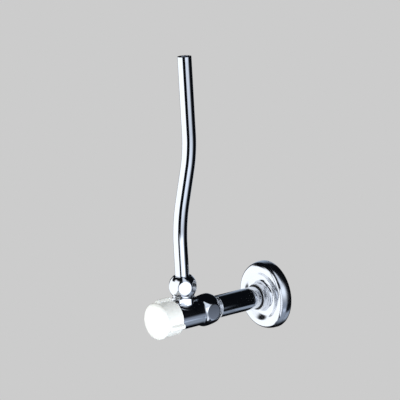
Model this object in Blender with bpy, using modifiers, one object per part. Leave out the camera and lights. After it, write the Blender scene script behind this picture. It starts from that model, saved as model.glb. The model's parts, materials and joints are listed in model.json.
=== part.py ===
"""Angle stop valve with a bent riser tube, a wall pipe and a sliding wall flange.

The origin is where the inlet axis meets the face of the wall. +Y runs into the wall, -Y out to the
knob, and +Z up the riser. Every size is in metres, written as millimetres times MM.
"""

import math

import bmesh
import bpy
from mathutils import Matrix, Vector

MM = 0.001
GAP = 0.3 * MM  # left between neighbours that touch on the real valve

# Driving sizes of the outside.
RISER_R = 5.0 * MM  # 10 mm supply tube
RISER_WALL = 1.0 * MM
RISER_Y = -80.0 * MM  # the outlet axis
RISER_LOW_Z = 12.0 * MM
RISER_TOP_Z = 184.6 * MM
RISER_OFFSET = 13.5 * MM  # how far the S bend sets the tube back towards the wall
RISER_CORNERS_Z = (66.0 * MM, 116.0 * MM)  # where the straight runs would meet
RISER_BENDS = (120.0 * MM, 100.0 * MM)
RISER_BEND_STEPS = 6
PIPE_R = 8.1 * MM
PIPE_BORE_R = 6.2 * MM
PIPE_THREAD_R = 8.33 * MM  # G 3/8, 16.66 mm across the crests
STUB_LENGTH = 12.0 * MM  # thread that goes into the wall fitting
BODY_R = 10.0 * MM
BODY_FRONT_Y = -91.4 * MM
BODY_END_Y = -54.0 * MM
BALL_Y = -61.0 * MM
BALL_R = 12.0 * MM
BALL_FLATS = 21.0 * MM
NUT_Z = 21.0 * MM
NUT_R = 10.0 * MM
NUT_FLATS = 17.7 * MM
COLLAR_FLATS = 15.0 * MM
COLLAR_LOW_Z = 7.8 * MM
COLLAR_TOP_Z = 13.4 * MM
NECK_TOP_Z = 18.5 * MM
KNOB_R = 12.6 * MM
KNOB_REAR_Y = -90.7 * MM
KNOB_FRONT_Y = -104.4 * MM
CAP_R = 13.3 * MM
CAP_WALL = 1.4 * MM
CAP_SPIGOT_R = 11.0 * MM
CAP_FRONT_Y = -107.7 * MM
RIB_ANGLES = (100, -20, -140)  # degrees round the knob, from +X towards +Z
RIB_R = 1.9 * MM
RIB_CENTRE_R = 13.1 * MM
FLANGE_R = 24.7 * MM
FLANGE_CREST_R = 19.6 * MM
FLANGE_DEPTH = 8.8 * MM
FLANGE_COLLAR_R = 9.8 * MM
FLANGE_COLLAR_Y = -13.0 * MM
FLANGE_WALL = 0.9 * MM
GRIP_RING_R = 9.0 * MM

# Driving sizes of the inside.
SEAT_Y = -70.9 * MM  # the lip that the plug washer closes on
SEAT_R = 6.5 * MM
SEAT_POCKET_Y = (-70.5 * MM, -67.5 * MM)
CHAMBER_R = 7.6 * MM
WATERWAY_R = 4.6 * MM
HEAD_SOCKET_R = 8.4 * MM
PIPE_SOCKET_R = 8.65 * MM
PIPE_SOCKET_Y = -64.5 * MM
TRAVEL = 3.375 * MM  # 2.25 turns of a 1.5 mm lead
HEAD_END_Y = -84.2 * MM
HEAD_R = 8.1 * MM
HEAD_SHOULDER_Y = -93.5 * MM
HEAD_FLATS = 17.0 * MM
STEM_FLATS = 9.6 * MM
SPINDLE_COLLAR_Y = -91.3 * MM
SPINDLE_END_Y = -101.9 * MM
SPINDLE_R = 4.0 * MM
THREAD_R = 3.4 * MM
SPLINE_R = 3.5 * MM
GROOVE_R = 3.1 * MM  # the bottom of the spindle's clip and seal grooves
CLIP_GROOVE = (-98.3 * MM, -97.4 * MM)
SEAL_GROOVES = ((-96.9 * MM, -95.7 * MM), (-95.1 * MM, -93.9 * MM))
SCREW_BORE_R = 2.2 * MM
SLOT_WIDTH = 0.8 * MM
PLUG_SCREW_R = 1.5 * MM
PLUG_WASHER_R = 6.2 * MM
OUTLET_R = 4.1 * MM
NECK_R = 7.0 * MM  # M14 x 1 outlet thread

ALONG_Y = Matrix.Rotation(-math.pi / 2, 4, "X")  # turns a profile's own Z into world Y
CHROME = ("chrome", (0.86, 0.87, 0.89, 1.0), 0.06, 1.0)
BRASS = ("brass", (0.72, 0.53, 0.24, 1.0), 0.3, 1.0)
STEEL = ("stainless_steel", (0.62, 0.62, 0.61, 1.0), 0.3, 1.0)
WHITE_PLASTIC = ("white_plastic", (0.93, 0.93, 0.91, 1.0), 0.25, 0.0)
RUBBER = ("black_rubber", (0.03, 0.03, 0.03, 1.0), 0.6, 0.0)
FIBRE = ("red_fibre", (0.35, 0.06, 0.04, 1.0), 0.7, 0.0)
PTFE = ("ptfe", (0.9, 0.9, 0.88, 1.0), 0.45, 0.0)


def clear_scene():
    for obj in list(bpy.data.objects):
        bpy.data.objects.remove(obj)


def collection(name, parent):
    made = bpy.data.collections.new(name)
    parent.children.link(made)
    return made


def material(finish):
    name, colour, roughness, metallic = finish
    made = bpy.data.materials.get(name)
    if made:
        return made
    made = bpy.data.materials.new(name)
    made.use_nodes = True
    made.diffuse_color = colour
    shader = made.node_tree.nodes["Principled BSDF"]
    shader.inputs["Base Color"].default_value = colour
    shader.inputs["Roughness"].default_value = roughness
    shader.inputs["Metallic"].default_value = metallic
    return made


def arc(centre, radius, start, end, steps):
    """Points (radius from the axis, place along it) of an arc, with angles in degrees."""
    points = []
    for i in range(steps + 1):
        angle = math.radians(start + (end - start) * i / steps)
        points.append((centre[0] + radius * math.cos(angle), centre[1] + radius * math.sin(angle)))
    return points


def clockwise(points):
    """The profile in the order that turns its faces outwards."""
    area = 0.0
    for (r0, z0), (r1, z1) in zip(points, points[1:] + points[:1]):
        area += r0 * z1 - r1 * z0
    return points if area < 0 else points[::-1]


def add_object(name, mesh, home, finish=None, place=None):
    made = bpy.data.objects.new(name, mesh)
    home.objects.link(made)
    if finish:
        mesh.materials.append(material(finish))
    if place:
        made.matrix_world = place
    return made


def turned(name, profile, home, finish=None, place=None, steps=28):
    """A turned piece: its profile is (radius, place along the axis), closed or ending on the axis."""
    points = clockwise(list(profile))
    open_ended = sum(abs(r) < 1e-9 for r, _ in points) == 2
    if open_ended:
        while abs(points[0][0]) > 1e-9 or abs(points[-1][0]) > 1e-9:
            points = points[1:] + points[:1]
    mesh = bpy.data.meshes.new(name)
    edges = [(i, i + 1) for i in range(len(points) - 1)]
    if not open_ended:
        edges.append((len(points) - 1, 0))
    mesh.from_pydata([(r, 0, z) for r, z in points], edges, [])
    made = add_object(name, mesh, home, finish, place)
    screw = made.modifiers.new("turn", "SCREW")
    screw.steps = steps
    screw.render_steps = steps
    screw.use_merge_vertices = True
    screw.merge_threshold = 1e-6
    screw.use_smooth_shade = True
    return made


def prism(name, across_flats, low, high, home, place=None, sides=6, turn=0.0):
    """A prism with flat sides along the Z of its place; turn is in degrees."""
    mesh = bpy.data.meshes.new(name)
    shape = bmesh.new()
    corner_r = across_flats / 2 / math.cos(math.pi / sides)
    spin = Matrix.Rotation(math.radians(turn), 4, "Z")
    shift = Matrix.Translation((0, 0, (low + high) / 2))
    bmesh.ops.create_cone(
        shape,
        cap_ends=True,
        segments=sides,
        radius1=corner_r,
        radius2=corner_r,
        depth=high - low,
        matrix=shift @ spin,
    )
    shape.to_mesh(mesh)
    shape.free()
    return add_object(name, mesh, home, None, place)


def boolean(target, other, operation):
    step = target.modifiers.new(operation.lower(), "BOOLEAN")
    step.operation = operation
    step.object = other
    step.solver = "EXACT"


def hide_cutters(cutters):
    for obj in cutters.objects:
        obj.hide_render = True
        obj.display_type = "WIRE"


def torus(name, ring_r, section_r, place_y, home, finish, steps=24, sides=8):
    profile = arc((ring_r, place_y), section_r, 0, 360 - 360 / sides, sides - 1)
    return turned(name, profile, home, finish, ALONG_Y, steps)


def ring(name, inner, outer, low, high, home, finish, place, steps=24):
    profile = [(outer, high), (outer, low), (inner, low), (inner, high)]
    return turned(name, profile, home, finish, place, steps)


# ---- outside pieces ----


def ball_outline(reach_low, reach_high, centre, radius, steps):
    """The arc of a ball between two places along its axis."""
    start = math.degrees(math.asin((reach_low - centre) / radius))
    end = math.degrees(math.asin((reach_high - centre) / radius))
    return arc((0, centre), radius, start, end, steps)


def body_outline():
    """Barrel, a hollow blend up to the ball, the ball, and the end face with the socket's mouth."""
    blend_r = 5.0 * MM
    blend_y = BALL_Y - math.sqrt((BALL_R + blend_r) ** 2 - (BODY_R + blend_r) ** 2)
    meet = math.degrees(math.atan2(BALL_Y - blend_y, -(BODY_R + blend_r)))
    chamfer = 0.8 * MM
    points = [(0, BODY_FRONT_Y), (BODY_R - chamfer, BODY_FRONT_Y), (BODY_R, BODY_FRONT_Y + chamfer)]
    points += arc((BODY_R + blend_r, blend_y), blend_r, 180, meet, 4)
    ball_start = BALL_Y - (BALL_Y - blend_y) * BALL_R / (BALL_R + blend_r)
    points += ball_outline(ball_start, BODY_END_Y, BALL_Y, BALL_R, 10)[1:]
    points.append((0, BODY_END_Y))
    return points


def body_bores(cutters):
    """The head socket, chamber, seat pocket, waterway and pipe socket as one turned cutter."""
    head_socket_end = HEAD_END_Y + 0.7 * MM
    seat_low, seat_high = SEAT_POCKET_Y
    mouth_r = 9.4 * MM
    past_end = BODY_END_Y + 0.2 * MM
    stages = (
        (HEAD_SOCKET_R, BODY_FRONT_Y - 1.0 * MM, head_socket_end),
        (CHAMBER_R, head_socket_end, seat_low),
        (SEAT_R + GAP, seat_low, seat_high),
        (WATERWAY_R, seat_high, PIPE_SOCKET_Y),
        (PIPE_SOCKET_R, PIPE_SOCKET_Y, BODY_END_Y - 0.6 * MM),
    )
    points = [(0, stages[0][1])]
    for radius, low, high in stages:
        points += [(radius, low), (radius, high)]
    points += [(mouth_r, past_end), (0, past_end)]
    return turned("body_bore_cutter", points, cutters, place=ALONG_Y)


def outlet_place():
    return Matrix.Translation((0, RISER_Y, 0))


def outlet_boss(cutters):
    """The upright boss: a hollow flare off the barrel, and the threaded neck above the collar."""
    flare_r = 3.0 * MM
    stem_r = NECK_R + 0.1 * MM
    foot_r = stem_r + flare_r
    foot_low = 3.0 * MM
    foot_high = 7.2 * MM
    points = [(0, foot_low), (foot_r, foot_low), (foot_r, foot_high)]
    points += arc((foot_r, foot_high + flare_r), flare_r, 270, 180, 5)[1:]
    points += [(stem_r, COLLAR_TOP_Z - 0.2 * MM), (NECK_R, COLLAR_TOP_Z), (NECK_R, NECK_TOP_Z - 0.6 * MM)]
    points += [(NECK_R - 0.3 * MM, NECK_TOP_Z), (0, NECK_TOP_Z)]
    return turned("boss_shape", points, cutters, place=outlet_place())


def outlet_bore(cutters):
    """The waterway up, the socket that the tube stands in, and the cone that seats the olive."""
    socket_r = RISER_R + GAP
    socket_floor = RISER_LOW_Z - 0.5 * MM
    mouth_r = NECK_R - 0.5 * MM
    past_top = NECK_TOP_Z + 1.5 * MM
    points = [
        (0, 0),
        (OUTLET_R, 0),
        (OUTLET_R, socket_floor),
        (socket_r, socket_floor),
        (socket_r, 15.3 * MM),
        (mouth_r, NECK_TOP_Z),
        (mouth_r, past_top),
        (0, past_top),
    ]
    return turned("outlet_bore_cutter", points, cutters, place=outlet_place())


def make_valve_body(home, cutters):
    body = turned("valve_body", body_outline(), home, CHROME, ALONG_Y, 32)
    flats = prism("ball_flats", BALL_FLATS, -0.1, 0, cutters, ALONG_Y)
    collar = prism(
        "collar_shape", COLLAR_FLATS, COLLAR_LOW_Z, COLLAR_TOP_Z, cutters, outlet_place(), turn=30
    )
    boolean(body, flats, "INTERSECT")
    boolean(body, outlet_boss(cutters), "UNION")
    boolean(body, collar, "UNION")
    boolean(body, body_bores(cutters), "DIFFERENCE")
    boolean(body, outlet_bore(cutters), "DIFFERENCE")
    return body


def make_nut(home, cutters):
    """A ball cut by six flats, threaded below and coned above to close on the olive."""
    low = COLLAR_TOP_Z + GAP
    top = 28.6 * MM
    skirt_r = 7.8 * MM
    skirt_top = low + 1.1 * MM
    cone_low = 20.0 * MM
    cone_top = 23.6 * MM
    thread_r = NECK_R + GAP
    hole_r = RISER_R + GAP
    points = [(thread_r, low), (skirt_r, low)]
    points += ball_outline(skirt_top, top, NUT_Z, NUT_R, 10)
    points += [(hole_r, top), (hole_r, cone_top), (thread_r, cone_low)]
    nut = turned("compression_nut", points, home, CHROME, outlet_place(), 36)
    flats = prism("nut_flats", NUT_FLATS, 0, 0.04, cutters, outlet_place(), turn=30)
    boolean(nut, flats, "INTERSECT")
    return nut


def make_olive(home):
    inner = RISER_R + GAP
    end_r = 5.75 * MM
    waist_r = 6.55 * MM
    low = 17.3 * MM
    cone = 2.0 * MM
    high = low + 5.0 * MM
    points = [
        (inner, low),
        (end_r, low),
        (waist_r, low + cone),
        (waist_r, high - cone),
        (end_r, high),
        (inner, high),
    ]
    return turned("olive", points, home, BRASS, outlet_place())


def riser_route():
    """Places (y, z) up the tube: straight, a bend back, a slant, a bend upright, straight."""
    corners = [
        Vector((RISER_Y, RISER_LOW_Z)),
        Vector((RISER_Y, RISER_CORNERS_Z[0])),
        Vector((RISER_Y + RISER_OFFSET, RISER_CORNERS_Z[1])),
        Vector((RISER_Y + RISER_OFFSET, RISER_TOP_Z)),
    ]
    route = [corners[0]]
    for i, radius in enumerate(RISER_BENDS):
        before, corner, after = corners[i : i + 3]
        way_in = (corner - before).normalized()
        way_out = (after - corner).normalized()
        turn = way_in.angle(way_out)
        reach = radius * math.tan(turn / 2)
        start = corner - way_in * reach
        side = (way_out - way_in * way_in.dot(way_out)).normalized()
        centre = start + side * radius
        for step in range(RISER_BEND_STEPS + 1):
            angle = turn * step / RISER_BEND_STEPS
            route.append(centre - side * radius * math.cos(angle) + way_in * radius * math.sin(angle))
    route.append(corners[3])
    return route


def make_riser(home):
    """An open tube swept along its route, then given its wall inwards."""
    curve = bpy.data.curves.new("riser_path", "CURVE")
    curve.dimensions = "3D"
    spline = curve.splines.new("POLY")
    route = riser_route()
    spline.points.add(len(route) - 1)
    for point, (y, z) in zip(spline.points, route):
        point.co = (0, y - RISER_Y, z, 1)
    curve.bevel_depth = RISER_R
    curve.bevel_resolution = 8
    curve.use_fill_caps = False
    path = bpy.data.objects.new("riser_path", curve)
    home.objects.link(path)
    bpy.context.view_layer.update()
    mesh = bpy.data.meshes.new_from_object(path.evaluated_get(bpy.context.evaluated_depsgraph_get()))
    mesh.name = "riser_tube"
    bpy.data.objects.remove(path)
    tube = add_object("riser_tube", mesh, home, CHROME, outlet_place())
    wall = tube.modifiers.new("wall", "SOLIDIFY")
    wall.thickness = RISER_WALL
    wall.offset = -1
    wall.use_rim = True
    return tube


def make_wall_pipe(home):
    """The pipe with a thread at each end and a plain polished barrel between."""
    front = -63.0 * MM
    barrel_start = -50.3 * MM
    barrel_end = -3.0 * MM
    chamfer = 0.8 * MM
    relief_r = PIPE_R - 0.5 * MM
    points = [
        (PIPE_BORE_R, front),
        (PIPE_THREAD_R - chamfer, front),
        (PIPE_THREAD_R, front + chamfer),
        (PIPE_THREAD_R, barrel_start - 0.5 * MM),
        (relief_r, barrel_start - 0.3 * MM),
        (relief_r, barrel_start - 0.1 * MM),
        (PIPE_R, barrel_start + 0.3 * MM),
        (PIPE_R, barrel_end - 0.3 * MM),
        (PIPE_THREAD_R, barrel_end),
        (PIPE_THREAD_R, STUB_LENGTH - chamfer),
        (PIPE_THREAD_R - chamfer, STUB_LENGTH),
        (PIPE_BORE_R, STUB_LENGTH),
    ]
    return turned("wall_pipe", points, home, CHROME, ALONG_Y, 32)


def flange_outline():
    """The outside, from the wall edge over the rounded rim and the hollow dish to the collar."""
    roundness = 2.4  # between an ellipse's 2 and a square's infinity
    points = [(FLANGE_R, 0)]
    steps = 7
    for i in range(steps):
        angle = math.radians(84) * i / (steps - 1)
        r = FLANGE_CREST_R + (FLANGE_R - FLANGE_CREST_R) * math.cos(angle) ** (2 / roundness)
        y = -1.0 * MM - (FLANGE_DEPTH - 1.0 * MM) * math.sin(angle) ** (2 / roundness)
        points.append((r, y))
    dish_bottom = (13.0 * MM, -5.6 * MM)
    lip = (FLANGE_CREST_R - 1.0 * MM, -FLANGE_DEPTH + 0.35 * MM)
    points.append(lip)
    steps = 4
    for i in range(1, steps + 1):
        share = i / steps
        r = lip[0] + (dish_bottom[0] - lip[0]) * share
        y = lip[1] + (dish_bottom[1] - lip[1]) * math.sin(share * math.pi / 2)
        points.append((r, y))
    fillet = dish_bottom[0] - FLANGE_COLLAR_R
    points += arc((dish_bottom[0], dish_bottom[1] - fillet), fillet, 90, 180, 4)[1:]
    points.append((FLANGE_COLLAR_R, FLANGE_COLLAR_Y + 0.4 * MM))
    points.append((FLANGE_COLLAR_R - 0.4 * MM, FLANGE_COLLAR_Y))
    return points


def set_inwards(points, distance):
    """The same path moved to its wall side by a distance."""
    moved = []
    for i, (r, y) in enumerate(points):
        r0, y0 = points[max(i - 1, 0)]
        r1, y1 = points[min(i + 1, len(points) - 1)]
        length = math.hypot(r1 - r0, y1 - y0)
        moved.append((r + distance * (y1 - y0) / length, y - distance * (r1 - r0) / length))
    return moved


def make_flange(home):
    """A pressed shell with a collar that slides on the pipe and holds a grip ring in its mouth."""
    outside = flange_outline()
    collar_points = 6  # the last ones, which the collar's own bore stands in for
    inside = set_inwards(outside[1:-collar_points], FLANGE_WALL)
    bore_r = PIPE_THREAD_R + GAP
    bore_end = -4.6 * MM
    ring_pocket_r = GRIP_RING_R + 0.25 * MM
    pocket_end = FLANGE_COLLAR_Y + 2.6 * MM
    points = outside + [
        (ring_pocket_r, FLANGE_COLLAR_Y),
        (ring_pocket_r, pocket_end),
        (bore_r, pocket_end),
        (bore_r, bore_end),
    ]
    points += inside[::-1]
    points.append((FLANGE_R - FLANGE_WALL, 0))
    return turned("wall_flange", points, home, CHROME, ALONG_Y, 36)


def make_grip_ring(home):
    """A rubber ring in the collar's mouth that keeps the flange where it is pushed."""
    low = FLANGE_COLLAR_Y + 0.3 * MM
    inner = PIPE_R + 0.25 * MM
    return ring("flange_grip_ring", inner, GRIP_RING_R, low, low + 1.9 * MM, home, RUBBER, ALONG_Y)


# ---- knob ----


def make_knob(home, cutters):
    """A hollow skirt on a boss that fits the spindle, with three finger ribs."""
    pocket_floor = KNOB_FRONT_Y + 1.2 * MM
    socket_end = SPINDLE_END_Y - GAP
    boss_end = -98.5 * MM
    boss_r = 5.8 * MM
    ceiling = -100.5 * MM
    cavity_r = 10.7 * MM
    pocket_r = CAP_SPIGOT_R + GAP
    points = [
        (KNOB_R - 0.2 * MM, KNOB_REAR_Y),
        (KNOB_R, KNOB_REAR_Y - 0.6 * MM),
        (KNOB_R + 0.1 * MM, KNOB_FRONT_Y + 0.4 * MM),
        (KNOB_R - 0.2 * MM, KNOB_FRONT_Y),
        (pocket_r, KNOB_FRONT_Y),
        (pocket_r, pocket_floor),
        (SCREW_BORE_R, pocket_floor),
        (SCREW_BORE_R, socket_end),
        (SPLINE_R + GAP, socket_end),
        (SPLINE_R + GAP, boss_end),
        (boss_r, boss_end),
        (boss_r, ceiling),
        (cavity_r, ceiling),
        (cavity_r + 0.2 * MM, KNOB_REAR_Y),
    ]
    knob = turned("knob", points, home, WHITE_PLASTIC, ALONG_Y, 36)
    for number, angle in enumerate(RIB_ANGLES):
        boolean(knob, rib_shape(f"rib_{number}", angle, cutters), "UNION")
    return knob


def rib_shape(name, angle, cutters):
    """A rounded bar laid along the knob's side."""
    front = KNOB_FRONT_Y + 0.6 * MM + RIB_R
    rear = KNOB_REAR_Y - 0.3 * MM
    points = [(0, rear), (RIB_R, rear)]
    points += arc((0, front), RIB_R, 0, -90, 4)
    points[-1] = (0, points[-1][1])
    spin = Matrix.Rotation(-math.radians(angle), 4, "Y")
    place = spin @ Matrix.Translation((RIB_CENTRE_R, 0, 0)) @ ALONG_Y
    return turned(name, points, cutters, place=place, steps=14)


def make_cap(home):
    """The smooth front disc that clips into the knob and hides its screw."""
    back = KNOB_FRONT_Y - GAP
    edge_r = 2.4 * MM
    spigot_end = back + 1.2 * MM
    hollow_r = CAP_SPIGOT_R - 1.2 * MM
    hollow_front = CAP_FRONT_Y + CAP_WALL
    points = [(0, CAP_FRONT_Y), (CAP_R / 2, CAP_FRONT_Y + 0.05 * MM)]
    points += arc((CAP_R - edge_r, CAP_FRONT_Y + 0.25 * MM + edge_r), edge_r, -90, 0, 6)
    points += [
        (CAP_R - 0.1 * MM, back),
        (CAP_SPIGOT_R, back),
        (CAP_SPIGOT_R, spigot_end),
        (hollow_r, spigot_end),
        (hollow_r, hollow_front),
        (0, hollow_front),
    ]
    return turned("knob_cap", points, home, WHITE_PLASTIC, ALONG_Y, 36)


def make_knob_screw(home, cutters):
    """A pan-head M4 screw, cross slotted."""
    head_base = KNOB_FRONT_Y + 1.2 * MM - GAP
    head_top = head_base - 1.8 * MM
    head_r = 3.2 * MM
    shank_r = SCREW_BORE_R - GAP
    points = [
        (0, head_top),
        (head_r - 0.8 * MM, head_top),
        (head_r, head_top + 0.6 * MM),
        (head_r, head_base),
        (shank_r, head_base),
        (shank_r, -96.6 * MM),
        (0, -96.0 * MM),
    ]
    screw = turned("knob_screw", points, home, STEEL, ALONG_Y, 24)
    size = (3.4 * MM, 1.8 * MM, SLOT_WIDTH)
    for number, turn in enumerate((0, 90)):
        slot = box_shape(f"knob_slot_{number}", size, (0, head_top, 0), cutters, turn)
        boolean(screw, slot, "DIFFERENCE")
    return screw


def box_shape(name, size, centre, cutters, turn=0):
    """A box of this size, turned by some degrees round the inlet axis's direction."""
    mesh = bpy.data.meshes.new(name)
    shape = bmesh.new()
    bmesh.ops.create_cube(shape, size=1)
    shape.to_mesh(mesh)
    shape.free()
    spin = Matrix.Rotation(math.radians(turn), 4, "Y")
    place = Matrix.Translation(centre) @ spin @ Matrix.Diagonal((*size, 1))
    return add_object(name, mesh, cutters, None, place)


# ---- inside pieces ----


def make_spindle(home):
    """Spline, clip groove, two seal grooves, thrust collar and the driving thread."""
    bore_end = -95.6 * MM
    collar_r = 5.0 * MM
    collar_front = SPINDLE_COLLAR_Y - 1.1 * MM
    tip = HEAD_END_Y + 0.8 * MM
    clip_low, clip_high = CLIP_GROOVE
    points = [(SCREW_BORE_R, SPINDLE_END_Y), (SPLINE_R - 0.3 * MM, SPINDLE_END_Y)]
    points += [(SPLINE_R, SPINDLE_END_Y + 0.3 * MM), (SPLINE_R, clip_low)]
    points += [(GROOVE_R, clip_low), (GROOVE_R, clip_high), (SPINDLE_R, clip_high)]
    for low, high in SEAL_GROOVES:
        points += [(SPINDLE_R, low), (GROOVE_R, low), (GROOVE_R, high), (SPINDLE_R, high)]
    points += [
        (SPINDLE_R, collar_front),
        (collar_r, collar_front),
        (collar_r, SPINDLE_COLLAR_Y),
        (THREAD_R, SPINDLE_COLLAR_Y),
        (THREAD_R, tip - 0.4 * MM),
        (THREAD_R - 0.4 * MM, tip),
        (0, tip),
        (0, bore_end),
        (SCREW_BORE_R, bore_end),
    ]
    return turned("spindle", points, home, BRASS, ALONG_Y, 20)


def make_spindle_seals(home):
    section_r = 0.4 * MM
    ring_r = GROOVE_R + section_r + 0.2 * MM
    for name, (low, high) in zip(("spindle_seal_front", "spindle_seal_rear"), SEAL_GROOVES):
        torus(name, ring_r, section_r, (low + high) / 2, home, RUBBER)


def make_spindle_clip(home, cutters):
    """An open spring ring in the spindle's groove, outside the head's nose."""
    inner = GROOVE_R + 0.2 * MM
    outer = 4.7 * MM
    low, high = (CLIP_GROOVE[0] + 0.2 * MM, CLIP_GROOVE[1] - 0.2 * MM)
    clip = ring("spindle_clip", inner, outer, low, high, home, STEEL, ALONG_Y)
    size = (2 * outer, 4 * (high - low), 3.0 * MM)
    gap = box_shape("clip_gap", size, (-outer - 0.3 * MM, (low + high) / 2, 0), cutters)
    boolean(clip, gap, "DIFFERENCE")
    return clip


def make_thrust_washer(home):
    """The slippery washer between the spindle's collar and the head's shoulder."""
    inner = SPINDLE_R + 0.2 * MM
    outer = inner + 0.8 * MM
    low = HEAD_SHOULDER_Y + GAP
    return ring("thrust_washer", inner, outer, low, low + 0.5 * MM, home, PTFE, ALONG_Y)


def make_head(home, cutters):
    """The head screwed into the body: barrel, spanner flats, and a nose that seals the spindle."""
    nose_end = CLIP_GROOVE[1] + 0.2 * MM
    flats_low = -95.6 * MM
    flats_high = BODY_FRONT_Y - 1.2 * MM
    nose_r = 6.6 * MM
    hex_r = 10.0 * MM
    seal_bore_r = SPINDLE_R + GAP
    collar_bore_r = 5.3 * MM
    guide_bore_r = 4.6 * MM
    points = [
        (seal_bore_r, nose_end),
        (nose_r - 0.4 * MM, nose_end),
        (nose_r, nose_end + 0.4 * MM),
        (nose_r, flats_low),
        (hex_r - 0.6 * MM, flats_low),
        (hex_r, flats_low + 0.5 * MM),
        (hex_r, flats_high),
        (HEAD_R, flats_high),
        (HEAD_R, HEAD_END_Y - 0.5 * MM),
        (HEAD_R - 0.5 * MM, HEAD_END_Y),
        (guide_bore_r, HEAD_END_Y),
        (guide_bore_r, SPINDLE_COLLAR_Y),
        (collar_bore_r, SPINDLE_COLLAR_Y),
        (collar_bore_r, HEAD_SHOULDER_Y),
        (seal_bore_r, HEAD_SHOULDER_Y),
    ]
    head = turned("headpart", points, home, BRASS, ALONG_Y, 28)
    past_ends = (-100.0 * MM, -80.0 * MM)
    outer = prism("head_flats", HEAD_FLATS, *past_ends, cutters, ALONG_Y, turn=30)
    guide_start = SPINDLE_COLLAR_Y - 0.4 * MM
    guide = prism("head_guide", STEM_FLATS + 2 * GAP, guide_start, past_ends[1], cutters, ALONG_Y)
    boolean(head, outer, "INTERSECT")
    boolean(head, guide, "DIFFERENCE")
    return head


def make_head_gasket(home):
    low = BODY_FRONT_Y - 0.9 * MM
    inner = HEAD_R + GAP
    return ring("head_gasket", inner, BODY_R - GAP, low, low + 0.6 * MM, home, FIBRE, ALONG_Y)


def make_plug(home, cutters):
    """The plug: a cup for its washer on a six-sided stem that slides in the head and never turns."""
    stem_end = SPINDLE_COLLAR_Y + TRAVEL + GAP
    stem_r = 5.0 * MM
    cup_r = 7.0 * MM
    cup_back = SEAT_Y - 6.4 * MM
    washer_floor = SEAT_Y - 3.3 * MM
    lip_end = SEAT_Y - 1.2 * MM
    screw_hole_r = PLUG_SCREW_R + GAP
    screw_hole_end = washer_floor - 3.4 * MM
    thread_end = cup_back - 2.2 * MM
    stem_bore_r = THREAD_R + GAP
    points = [
        (stem_bore_r, stem_end),
        (stem_r, stem_end),
        (stem_r, cup_back),
        (cup_r, cup_back),
        (cup_r, lip_end),
        (PLUG_WASHER_R + GAP, lip_end),
        (PLUG_WASHER_R + GAP, washer_floor),
        (screw_hole_r, washer_floor),
        (screw_hole_r, screw_hole_end),
        (0, screw_hole_end),
        (0, thread_end),
        (stem_bore_r, thread_end),
    ]
    plug = turned("valve_plug", points, home, BRASS, ALONG_Y, 24)
    stem_low = stem_end + 0.01 * MM
    stem_high = cup_back + 0.1 * MM
    stem = prism("plug_stem", STEM_FLATS, stem_low, stem_high, cutters, ALONG_Y)
    before_end = stem_end - 1.0 * MM
    bore_points = [(0, before_end), (stem_bore_r, before_end), (stem_bore_r, thread_end), (0, thread_end)]
    bore = turned("plug_bore_cutter", bore_points, cutters, place=ALONG_Y, steps=24)
    boolean(plug, stem, "UNION")
    boolean(plug, bore, "DIFFERENCE")
    return plug


def make_plug_washer(home):
    low = SEAT_Y - 3.0 * MM
    inner = PLUG_SCREW_R + GAP
    return ring("plug_washer", inner, PLUG_WASHER_R, low, SEAT_Y - GAP, home, RUBBER, ALONG_Y)


def make_plug_screw(home, cutters):
    head_base = SEAT_Y
    head_top = SEAT_Y + 1.4 * MM
    head_r = 2.7 * MM
    tip = SEAT_Y - 5.6 * MM
    points = [
        (0, tip),
        (PLUG_SCREW_R, tip),
        (PLUG_SCREW_R, head_base),
        (head_r, head_base),
        (head_r, head_top - 0.4 * MM),
        (head_r - 0.5 * MM, head_top),
        (0, head_top),
    ]
    screw = turned("plug_screw", points, home, BRASS, ALONG_Y, 20)
    slot = box_shape("plug_slot", (6.0 * MM, 1.2 * MM, SLOT_WIDTH), (0, head_top, 0), cutters)
    boolean(screw, slot, "DIFFERENCE")
    return screw


def make_seat(home):
    """The hard seat ring pressed into the body, with the raised lip that the washer closes on."""
    shoulder = SEAT_Y + 0.7 * MM
    back = SEAT_Y + 3.1 * MM
    bore_r = 4.2 * MM
    points = [
        (bore_r, back),
        (SEAT_R, back),
        (SEAT_R, shoulder),
        (5.7 * MM, shoulder),
        (5.4 * MM, SEAT_Y),
        (4.9 * MM, SEAT_Y),
        (bore_r, shoulder),
    ]
    return turned("seat_ring", points, home, STEEL, ALONG_Y)


def make_inlet_gasket(home):
    low = PIPE_SOCKET_Y + GAP
    return ring("inlet_gasket", 5.0 * MM, 8.3 * MM, low, low + 0.9 * MM, home, FIBRE, ALONG_Y)


def make_wall_seal(home):
    inner = PIPE_THREAD_R + 0.32 * MM
    low = 1.0 * MM
    return ring("wall_thread_seal", inner, inner + 0.95 * MM, low, low + 2.6 * MM, home, PTFE, ALONG_Y)


def main():
    clear_scene()
    home = collection("angle_stop_valve", bpy.context.scene.collection)
    cutters = collection("cutters", bpy.context.scene.collection)
    make_valve_body(home, cutters)
    make_nut(home, cutters)
    make_olive(home)
    make_riser(home)
    make_wall_pipe(home)
    make_flange(home)
    make_grip_ring(home)
    make_knob(home, cutters)
    make_cap(home)
    make_knob_screw(home, cutters)
    make_spindle(home)
    make_spindle_seals(home)
    make_spindle_clip(home, cutters)
    make_thrust_washer(home)
    make_head(home, cutters)
    make_head_gasket(home)
    make_plug(home, cutters)
    make_plug_washer(home)
    make_plug_screw(home, cutters)
    make_seat(home)
    make_inlet_gasket(home)
    make_wall_seal(home)
    hide_cutters(cutters)


main()
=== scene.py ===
import json
import math

import bpy
import numpy as np
from mathutils import Matrix, Vector

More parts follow.
